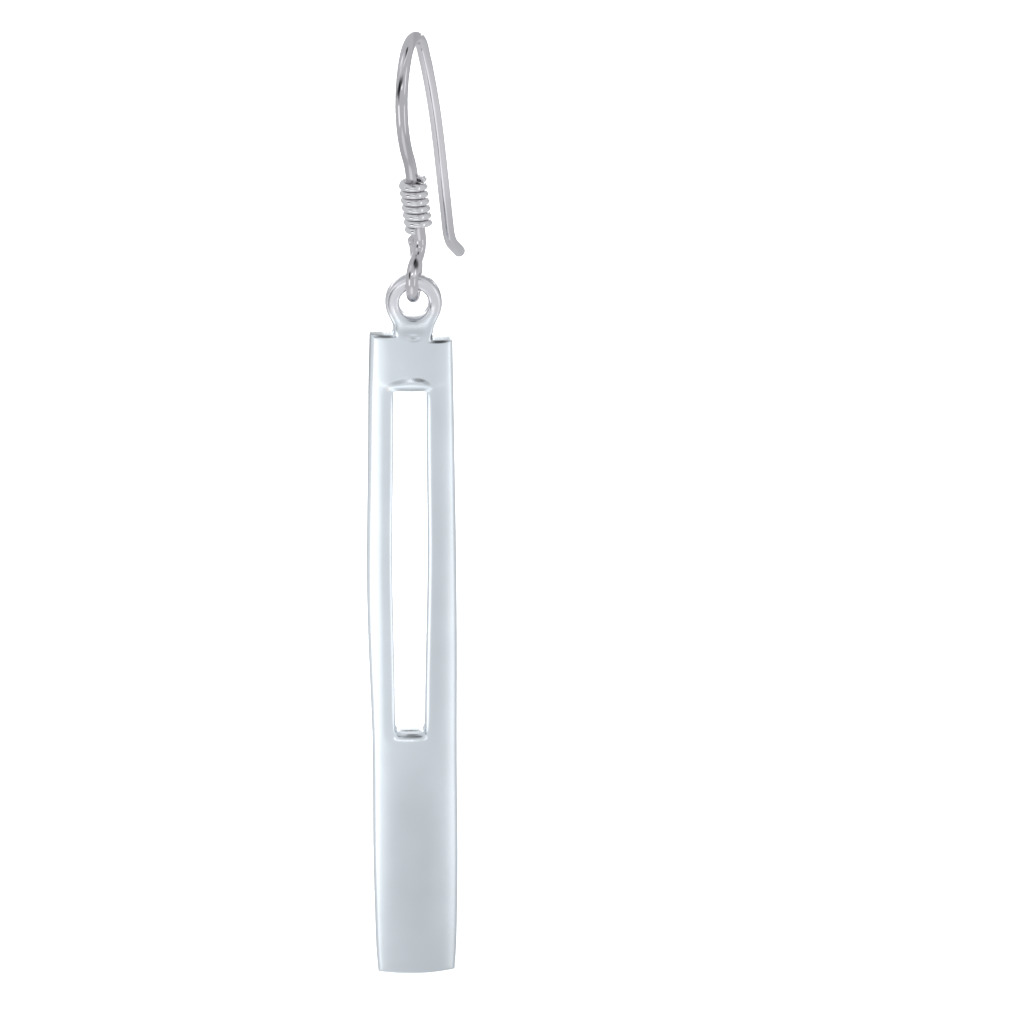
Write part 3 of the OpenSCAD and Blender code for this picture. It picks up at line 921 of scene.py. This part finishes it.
def weigh_edges(piece, plan):
    """Weighs the cage's edges by how far each is rounded."""
    right_z = -plan.shoulder_drop - plan.shoulder_step
    end_z = -plan.shoulder_drop - plan.bar_len

    def middle(edge):
        return (edge.verts[0].co + edge.verts[1].co) / 2

    def rim(edge):
        """Whether the edge lies between a wall and a front or a back."""
        levels = [abs(face.normal.y) for face in edge.link_faces]
        return min(levels) < WALL_NORMAL and max(levels) > FLAT_NORMAL

    def behind(edge):
        """Whether each end of the edge is on the back."""
        return [v.co.y > plan.back_y - SLACK for v in edge.verts]

    def front(edge):
        return rim(edge) and not any(behind(edge))

    def back(edge):
        return rim(edge) and all(behind(edge))

    def upright(edge, x, z):
        """Whether the edge runs from front to back at a corner."""
        a, b = (v.co for v in edge.verts)
        return (a - b).xz.length < SLACK and abs(a.x - x) < 0.12 and abs(a.z - z) < 0.02

    def level(edge):
        """Whether the edge runs more across than down."""
        a, b = (v.co for v in edge.verts)
        return abs(a.z - b.z) < 0.5 * abs(a.x - b.x)

    def ring(edge):
        """Whether the edge is above the shoulders, on the ring or the neck."""
        return middle(edge).z > -0.98 * plan.shoulder_drop

    def hole(edge):
        return middle(edge).xz.length < plan.hole_r * 1.1

    def slot(edge):
        place = middle(edge)
        beside = abs(place.x - plan.slot_shift) < plan.slot_w * 0.55
        return beside and plan.foot_z - 0.1 < place.z < plan.top_z + 0.1

    def long_side(edge):
        return front(edge) and not (ring(edge) or slot(edge) or level(edge))

    groups = [
        (lambda e: front(e) and hole(e), plan.hole_rim_r),
        (lambda e: front(e) and ring(e) and not hole(e), plan.ring_rim_r),
        (lambda e: front(e) and slot(e), plan.slot_rim_r),
        (lambda e: front(e) and level(e) and not ring(e) and not slot(e), plan.end_rim_r),
        (lambda e: long_side(e) and middle(e).x > 0, plan.rim_r),
        (back, plan.back_rim_r),
        (lambda e: back(e) and hole(e), plan.hole_rim_r),
    ]
    for share in [k / FACET_STEPS for k in range(FACET_STEPS)]:
        ends = (share + 1 / FACET_STEPS, share)
        low, high = (-plan.shoulder_drop - plan.bar_len * at * FACET_SHARE for at in ends)
        groups.append((
            lambda e, low=low, high=high: long_side(e) and middle(e).x < 0 and low <= middle(e).z < high,
            plan.facet_r + (plan.rim_r - plan.facet_r) * share))
    below = -plan.shoulder_drop - plan.bar_len * FACET_SHARE
    groups.append((lambda e: long_side(e) and middle(e).x < 0 and middle(e).z < below, plan.rim_r))
    left, right = (side * plan.half_w for side in along(BAR_SIDES, 0))
    foot_left, foot_right = (side * plan.half_w for side in along(BAR_SIDES, 1))
    slot_left, slot_right = plan.slot_sides(plan.slot_foot)
    top_left, top_right = plan.slot_sides(plan.slot_top)
    for x, z, radius in (
        (-left, -plan.shoulder_drop, plan.corner_r),
        (right, right_z, plan.right_corner_r),
        (-foot_left, end_z, plan.corner_r),
        (foot_right, end_z, plan.corner_r),
        (slot_left, plan.foot_z, plan.slot_corner_r),
        (slot_right, plan.foot_z, plan.slot_corner_r),
        (top_left, plan.top_z, plan.corner_r * 2),
        (top_right, plan.top_z, plan.corner_r * 2),
    ):
        groups.append((lambda e, x=x, z=z: upright(e, x, z), radius))
    for test, radius in groups:
        if pick(piece, test, "edges"):
            bpy.ops.transform.edge_bevelweight(value=radius / WIDEST_RIM)


class EARRING_OT_stage(bpy.types.Operator):
    """Set up the floor, the lights and the camera"""
    bl_idname = "earring.stage"
    bl_label = "Stage"

    def execute(self, context):
        sizes = context.scene.earring_stage
        lay_floor(sizes, context.scene.earring_finishes)
        light_world(context.scene)
        place_lights()
        place_camera(context.scene, sizes)
        context.scene.view_settings.view_transform = "Standard"
        return {"FINISHED"}


# The floor's colour drifts by this share, in blotches of this size in metres
FLOOR_DRIFT = 0.01
FLOOR_BLOTCH = 0.3


def lay_floor(sizes, finishes):
    """A plain pale floor under the hanging earring."""
    clear_desk()
    level = CAD_BOX[0].z - sizes.floor_drop
    bpy.ops.mesh.primitive_plane_add(size=sizes.floor_size, location=(0, 0, level))
    floor = bpy.context.active_object
    floor.name = "floor"
    bpy.ops.object.transform_apply(location=True, rotation=True, scale=True)
    made = Finish("floor_paper")
    mottle = made.noise(made.place(), FLOOR_BLOTCH)
    tint = finishes.floor_tint
    duller = [c * (1 - FLOOR_DRIFT) for c in tint]
    shade = made.node("ShaderNodeValToRGB", {"stops": [(0.3, duller), (0.7, tint)]}, {"Fac": mottle})
    surface = made.node("ShaderNodeBsdfPrincipled", {}, {"Base Color": shade, "Roughness": 0.9})
    made.node("ShaderNodeOutputMaterial", {}, {"Surface": surface})
    floor.data.materials.append(made.material)
    # The camera sees the floor, but the silver doesn't mirror it and it casts no shadow on the silver
    floor.visible_glossy = False
    floor.visible_shadow = False


# The surround's glow, what is added to it below, the sines of the elevations over which that
# comes in, and the surround's colour
GLOW = 0.73
GLOW_BELOW = 0.05
BELOW = (-0.6, -0.8)
SURROUND = (0.95, 0.975, 1.0)
# Darker and brighter places in the surround, as azimuth, elevation and half their width in
# degrees, and the share by which they change it. They fade over this share of it on each side
SOFT_EDGE = 0.3
PLACES = (
    (-52, 8, 14, -0.93),
    (10, 57, 13, -0.93),
    (138, 18, 32, -0.18),
    (-10, -58, 19, 0.5),
)
# Soft lights, each as azimuth and elevation in degrees, distance in metres, width and height in
# degrees, and brightness
LIGHTS = {
    "left_low": (-52, -19, 0.42, 22, 22, 0.9),
    "left_fade": (-37, -19, 0.42, 8, 22, 0.25),
    "left_high": (-60, 30, 0.50, 30, 26, 0.3),
    "right_low": (52, -19, 0.42, 12, 22, 0.8),
    "right_fade": (40, -19, 0.42, 8, 22, 0.08),
    "right_mid": (52, 11, 0.42, 14, 20, 0.8),
}
# Pools of light on the floor: place and size in metres and power of the lamp above each
POOLS = {
    "back_pool": ((0.0, 1.15, 0.05), (0.7, 1.5), 9.0),
    "front_pool": ((-0.25, -1.5, 0.25), (0.8, 0.8), 2.6),
}


def toward(azimuth, elevation):
    """Unit vector towards an azimuth and an elevation in degrees, where azimuth 0 is the camera's side."""
    a, e = math.radians(azimuth), math.radians(elevation)
    return Vector((math.sin(a) * math.cos(e), -math.cos(a) * math.cos(e), math.sin(e)))


def light_world(scene):
    """A pale surround, a little brighter below, with darker and brighter places in it."""
    world = bpy.data.worlds.new("studio")
    world.use_nodes = True
    scene.world = world
    made = Finish("studio", world.node_tree)
    where = made.node("ShaderNodeTexCoord", out="Generated")
    height = made.node("ShaderNodeSeparateXYZ", {}, {"Vector": where}, out="Z")
    glow = GLOW + GLOW_BELOW * height.between(*BELOW)
    for azimuth, elevation, width, change in PLACES:
        near = made.node("ShaderNodeVectorMath", {"operation": "DOT_PRODUCT"},
                         {0: where, 1: toward(azimuth, elevation)}, out="Value")
        outer = math.cos(math.radians(width * (1 + SOFT_EDGE)))
        inner = math.cos(math.radians(width * (1 - SOFT_EDGE)))
        glow = glow * (1 + change * near.between(outer, inner))
    surround = made.node("ShaderNodeBackground", {}, {"Color": SURROUND, "Strength": glow})
    made.node("ShaderNodeOutputWorld", {}, {"Surface": surround})


def add_light(name, place, away, width, height, power):
    """A soft rectangular light that the camera doesn't see."""
    lamp = bpy.data.lights.new(name, "AREA")
    lamp.shape = "RECTANGLE"
    lamp.size = width
    lamp.size_y = height
    lamp.energy = power
    light = bpy.data.objects.new(name, lamp)
    bpy.context.scene.collection.objects.link(light)
    light.location = place
    light.rotation_euler = away.to_track_quat("Z", "Y").to_euler()
    light.visible_camera = False


def place_lights():
    """Soft lights around the earring, and lamps over the floor behind and before it."""
    middle = (CAD_BOX[0] + CAD_BOX[1]) / 2
    for name, (azimuth, elevation, distance, wide, high, brightness) in LIGHTS.items():
        away = toward(azimuth, elevation)
        width = 2 * distance * math.tan(math.radians(wide / 2))
        height = 2 * distance * math.tan(math.radians(high / 2))
        add_light(name, middle + away * distance, away, width, height, brightness * width * height * math.pi)
    for name, (place, (width, depth), power) in POOLS.items():
        add_light(name, Vector(place), Vector((0, 0, 1)), width, depth, power)


def place_camera(scene, sizes):
    """The photograph's view."""
    data = bpy.data.cameras.new("camera")
    camera = bpy.data.objects.new("camera", data)
    scene.collection.objects.link(camera)
    scene.camera = camera
    data.sensor_width = 36
    data.lens = sizes.camera_lens
    data.clip_start = 0.01
    data.clip_end = 50
    aim = Vector((0, 0, (CAD_BOX[0].z + CAD_BOX[1].z) / 2 + sizes.camera_raise))
    away = toward(in_degrees(sizes, "camera_azimuth"), in_degrees(sizes, "camera_elevation"))
    camera.location = aim + away * sizes.camera_distance
    camera.rotation_mode = "QUATERNION"
    look = away.to_track_quat("Z", "Y").to_matrix()
    camera.rotation_quaternion = (look @ Matrix.Rotation(-sizes.camera_yaw, 3, "Y")).to_quaternion()


class EARRING_PT_panel(bpy.types.Panel):
    """The earring's pieces and stage"""
    bl_label = "Bar drop earring"
    bl_idname = "EARRING_PT_panel"
    bl_space_type = "VIEW_3D"
    bl_region_type = "UI"
    bl_category = "Earring"

    def draw(self, context):
        for operator in OPERATORS:
            self.layout.operator(operator.bl_idname)


GROUPS = {
    "earring_hook": HookSizes,
    "earring_coil": CoilSizes,
    "earring_bar": BarSizes,
    "earring_stage": StageSizes,
    "earring_finishes": Finishes,
}
OPERATORS = (EARRING_OT_hook, EARRING_OT_coil, EARRING_OT_bar, EARRING_OT_stage)


def register():
    for group in GROUPS.values():
        bpy.utils.register_class(group)
    for name, group in GROUPS.items():
        setattr(bpy.types.Scene, name, PointerProperty(type=group))
    for operator in (*OPERATORS, EARRING_PT_panel):
        bpy.utils.register_class(operator)


def unregister():
    for operator in reversed((*OPERATORS, EARRING_PT_panel)):
        bpy.utils.unregister_class(operator)
    for name in GROUPS:
        delattr(bpy.types.Scene, name)
    for group in reversed(GROUPS.values()):
        bpy.utils.unregister_class(group)


def main():
    register()
    bpy.ops.earring.hook()
    bpy.ops.earring.coil()
    bpy.ops.earring.bar()
    bpy.ops.earring.stage()


if __name__ == "__main__":
    main()
